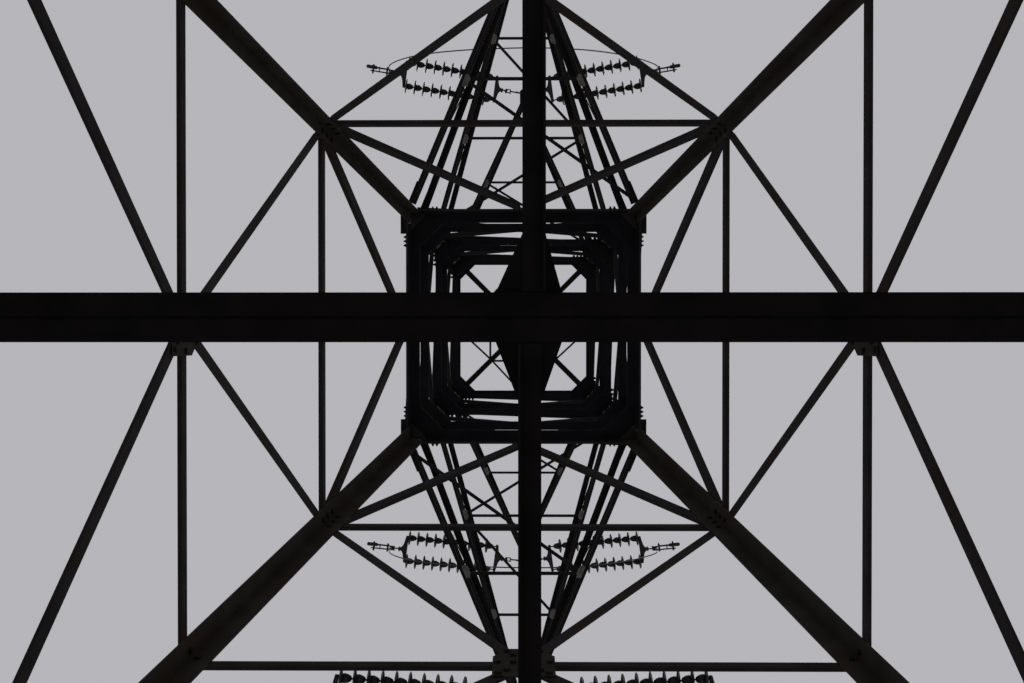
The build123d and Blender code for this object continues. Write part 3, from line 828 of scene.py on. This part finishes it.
# Body frames: width of the flat and rise of the upper frame for each crossarm, and their corners
FRAME_HALF = BODY_HALF - LEG_THICK
FRAMES = {"lower": (0.100, 1.230), "middle": (0.085, 1.230), "upper": (0.075, 1.220)}
FRAME_RISE = 0.080
FRAME_THICK = 0.010
FRAME_GUSSET = 0.260
OUTER_CUT = 0.160
UPSTAND_BOLTS = (0.865, 0.925, 0.985, 1.040)
UPSTAND_BOLTS_RISE = 0.045
FLAT_BOLTS = (0.030, 0.105, 0.180)

# Gussets inside the body's legs, at heights on the left and right of each side, with bolts
# (across from the middle, up) through the leg and through the brace alone
LEFT_GUSSETS = (14.430, 15.700, 18.060, 19.370, 22.040)
RIGHT_GUSSETS = (15.560, 17.980, 19.230, 21.960, 23.290)
BODY_GUSSET_THICK = 0.008
BODY_GUSSET = slab(mirrored([(-0.115, 0.100), (0.060, 0.120), (0.085, 0.120)]), BODY_GUSSET_THICK)
BODY_GUSSET_ACROSS = 1.118
BODY_GUSSET_DEPTH = -LEG_THICK - SEAT - BODY_GUSSET_THICK / 2
BODY_GUSSET_FACE = -LEG_THICK - BODY_GUSSET_THICK - 2 * SEAT
LEG_BOLTS = ((1.165, -0.085), (1.165, 0.0), (1.165, 0.085))
BRACE_BOLTS = ((1.075, -0.055), (1.060, 0.055))


def add_body_gussets(bolts):
    """Gussets and their bolts, and a bolt where the braces of each tall panel cross."""
    plates = Shape()
    for turn in TURNS:
        side = side_place(turn, BODY_HALF, 0)
        for hand, heights in ((-1, LEFT_GUSSETS), (1, RIGHT_GUSSETS)):
            for z in heights:
                at = side @ Matrix.Translation((hand * BODY_GUSSET_ACROSS, z, BODY_GUSSET_DEPTH))
                if hand < 0:
                    at = at @ Matrix.Rotation(pi, 4, "Y")
                plates.add(BODY_GUSSET, at)
                for spots, outer in ((LEG_BOLTS, 0), (BRACE_BOLTS, -LEG_THICK)):
                    for x, rise in spots:
                        through(bolts, side, hand * x, z + rise, BODY_GUSSET_FACE, outer)
        for below, above in (("lower", "middle"), ("middle", "upper")):
            low = ARMS[below][0] + FRAMES[below][1] + FRAME_RISE
            through(bolts, side, 0, (low + ARMS[above][0]) / 2, 0, BAR_THICK)
    plates.piece("body_gussets", [HIGH_SHADE_STEEL])


def add_frame_side(frames, bolts, turn, z, width):
    """One side of a horizontal frame: its upstand, and the bolts in upstand and flat."""
    side = side_place(turn, BODY_HALF, 0)
    cut = FRAME_HALF - OUTER_CUT
    inner = -LEG_THICK - BAR_THICK
    frames.add(block((-cut, z + FRAME_THICK, inner), (cut, z + FRAME_RISE, -LEG_THICK)), side)
    spin = Matrix.Rotation(radians(turn), 4, "Z")
    for hand in (-1, 1):
        for x in UPSTAND_BOLTS:
            through(bolts, side, hand * x, z + UPSTAND_BOLTS_RISE, inner, -LEG_THICK)
        for inset in FLAT_BOLTS:
            spot = spin @ Vector((hand * (cut - inset), FRAME_HALF - width / 2, z))
            add_head(bolts, spot, (0, 0, -1))


def add_body_frames(bolts):
    frames = Shape()
    for arm, (width, rise) in FRAMES.items():
        level = ARMS[arm][0]
        opening = FRAME_HALF - width
        hole = octagon(opening, opening - FRAME_GUSSET)
        flat = slab(octagon(FRAME_HALF, FRAME_HALF - OUTER_CUT), FRAME_THICK, [hole])
        for z in (level, min(level + rise, BODY_TOP - FRAME_RISE)):
            frames.add(flat, Matrix.Translation((0, 0, z + FRAME_THICK / 2)))
            for turn in TURNS:
                add_frame_side(frames, bolts, turn, z, width)
    piece = frames.piece("body_frames_dressed", [FRAME_SHADE_STEEL], "body_frames")


body_bolts = Shape()
add_body_gussets(body_bolts)
add_body_frames(body_bolts)
body_bolts.piece("bolts_body", [FRAME_SHADE_STEEL])

# Crossarms: half-spread of the chords at the tip, the struts' distances from the tower's middle, and
# where the chords begin and end
ARM_SHAPES = {"lower": (0.095, (2.650,)), "middle": (0.030, (2.600, 3.970)), "upper": (0.020, (2.480,))}
ARM_START = 0.110
ARM_ROOT = BODY_HALF + ARM_START
TIP_BACK = 0.080

# Cleats on the outer sides of the legs, for the back right leg, with nuts on their web
CLEAT_FLAT = block((1.233, 0.992, -0.018), (1.314, 1.335, -0.009))
CLEAT_WEB = block((1.233, 0.992, -0.018), (1.242, 1.335, 0.062))
CLEAT_NUTS_OUT = 1.242
CLEAT_NUTS_RISE = 0.030
CLEAT_NUTS = (1.070, 1.150, 1.250)

# Light plates under the struts' ends, their light tone painted light for a lit face, inward of the chord's
# line and below it, with three bolts
JOINT_THICK = 0.007
JOINT_PLATE = slab([
    (-0.065, -0.026), (0.065, -0.026), (0.074, 0.0), (0.042, 0.036), (-0.042, 0.036), (-0.074, 0.0),
], JOINT_THICK)
JOINT_INWARD = 0.060
JOINT_DROP = 0.0045
JOINT_BOLTS = (-0.040, 0.0, 0.040)
JOINT_BOLTS_INWARD = 0.004

# A painted highlight line under each chord, for the lit edge of its flange: its distances from the chord's
# ends, how far inward it lies, and its lowest and highest place from the chord's level
EDGE_START = 0.120
EDGE_END = 0.060
EDGE_BAND = (0.040, 0.048)
EDGE_HEIGHT = (-0.003, 0.002)


def add_cleat(cleats, bolts, across, along, z):
    mirror = Matrix.Translation((0, 0, z)) @ Matrix.Diagonal((across, along, 1, 1))
    for points, faces in (CLEAT_FLAT, CLEAT_WEB):
        if across * along < 0:
            faces = [face[::-1] for face in faces]
        cleats.add((points, faces), mirror)
    for y in CLEAT_NUTS:
        add_nut(bolts, (across * CLEAT_NUTS_OUT, along * y, z + CLEAT_NUTS_RISE), (across, 0, 0))


def add_chord(edges, joints, arm, across, along):
    """The painted highlight line under one bottom chord, and the plates where its struts begin."""
    level, reach = ARMS[arm]
    tip, struts = ARM_SHAPES[arm]
    root = Vector((across * BODY_HALF, along * ARM_ROOT, level))
    end = Vector((across * tip, along * (reach - TIP_BACK), level))
    run = (end - root).normalized()
    inward = Vector((-across, 0, 0))
    inward = (inward - run * inward.dot(run)).normalized()
    line = placed(root, run, (0, 0, 1))
    side = (line.to_3x3() @ Vector((0, 1, 0))).dot(inward)
    near, far = sorted(side * band for band in EDGE_BAND)
    low, high = EDGE_HEIGHT
    # The painted highlight line along the chord's underside
    edges.add(block((EDGE_START, near, low), ((end - root).length - EDGE_END, far, high)), line)
    for strut in struts:
        share = (strut - ARM_ROOT) / (reach - TIP_BACK - ARM_ROOT)
        at = root + (end - root) * share + inward * JOINT_INWARD - Vector((0, 0, JOINT_DROP))
        plate = placed(at, run, (0, 0, 1))
        if side < 0:
            plate = plate @ Matrix.Rotation(pi, 4, "X")
        joints.add(JOINT_PLATE, plate)
        for x in JOINT_BOLTS:
            spot = plate @ Vector((x, JOINT_BOLTS_INWARD, 0)) - Vector((0, 0, JOINT_THICK / 2))
            add_head(joints, spot, (0, 0, -1), SMALL_BOLT)


def add_arms():
    cleats, joints, edges, bolts = Shape(), Shape(), Shape(), Shape()
    for arm, (level, _) in ARMS.items():
        for along in ROWS.values():
            for across in (-1, 1):
                for z in (level, level + FRAMES[arm][1]):
                    add_cleat(cleats, bolts, across, along, z)
                add_chord(edges, joints, arm, across, along)
    cleats.piece("arm_cleats", [HIGH_SHADE_STEEL])
    joints.piece("arm_joint_plates", [PAINTED_LIGHT_PLATE])
    edges.piece("arm_chord_highlights", [CHORD_HIGHLIGHT])
    bolts.piece("bolts_arms", [HIGH_SHADE_STEEL])


add_arms()

# Floor, light and sky
FLOOR_RADIUS = 600
FLOOR_SIDES = 64
FLOOR_COLOUR = (0.60, 0.60, 0.61, 1)
SKY_LIGHT = (0.95, 0.97, 1.0, 1)
SKY_STRENGTH = 0.55
SKY_SEEN = (0.472, 0.467, 0.495, 1)
SUN_STRENGTH = 1.2
SUN_ANGLE = radians(25)
SUN_TURN = (radians(8), radians(5), radians(30))


def add_floor():
    mesh = bpy.data.meshes.new("floor")
    rim = [(FLOOR_RADIUS * x, FLOOR_RADIUS * y, 0) for x, y in circle(FLOOR_SIDES)]
    mesh.from_pydata(rim, [], [tuple(range(FLOOR_SIDES))])
    floor = bpy.data.objects.new("floor", mesh)
    bpy.context.scene.collection.objects.link(floor)
    look = bpy.data.materials.new("floor")
    look.use_nodes = True
    shader = look.node_tree.nodes["Principled BSDF"]
    shader.inputs["Base Color"].default_value = FLOOR_COLOUR
    shader.inputs["Roughness"].default_value = 0.9
    mesh.materials.append(look)


def add_sky():
    """A pale sky that lights the object evenly, and is a little greyer where it is seen."""
    world = bpy.data.worlds.new("sky")
    bpy.context.scene.world = world
    world.use_nodes = True
    nodes, links = world.node_tree.nodes, world.node_tree.links
    nodes.clear()
    out = nodes.new("ShaderNodeOutputWorld")
    light = nodes.new("ShaderNodeBackground")
    light.inputs["Color"].default_value = SKY_LIGHT
    light.inputs["Strength"].default_value = SKY_STRENGTH
    seen = nodes.new("ShaderNodeBackground")
    seen.inputs["Color"].default_value = SKY_SEEN
    seen.inputs["Strength"].default_value = 1.0
    path = nodes.new("ShaderNodeLightPath")
    is_seen = path.outputs["Is Camera Ray"]
    for ray in ("Is Glossy Ray", "Is Transmission Ray"):
        either = nodes.new("ShaderNodeMath")
        either.operation = "MAXIMUM"
        links.new(is_seen, either.inputs[0])
        links.new(path.outputs[ray], either.inputs[1])
        is_seen = either.outputs["Value"]
    mix = nodes.new("ShaderNodeMixShader")
    links.new(is_seen, mix.inputs["Fac"])
    links.new(light.outputs["Background"], mix.inputs[1])
    links.new(seen.outputs["Background"], mix.inputs[2])
    links.new(mix.outputs["Shader"], out.inputs["Surface"])


def add_sun():
    data = bpy.data.lights.new("sun", "SUN")
    data.energy = SUN_STRENGTH
    data.angle = SUN_ANGLE
    sun = bpy.data.objects.new("sun", data)
    sun.rotation_euler = SUN_TURN
    bpy.context.scene.collection.objects.link(sun)


add_floor()
add_sky()
add_sun()

bpy.context.scene.view_settings.view_transform = "Standard"
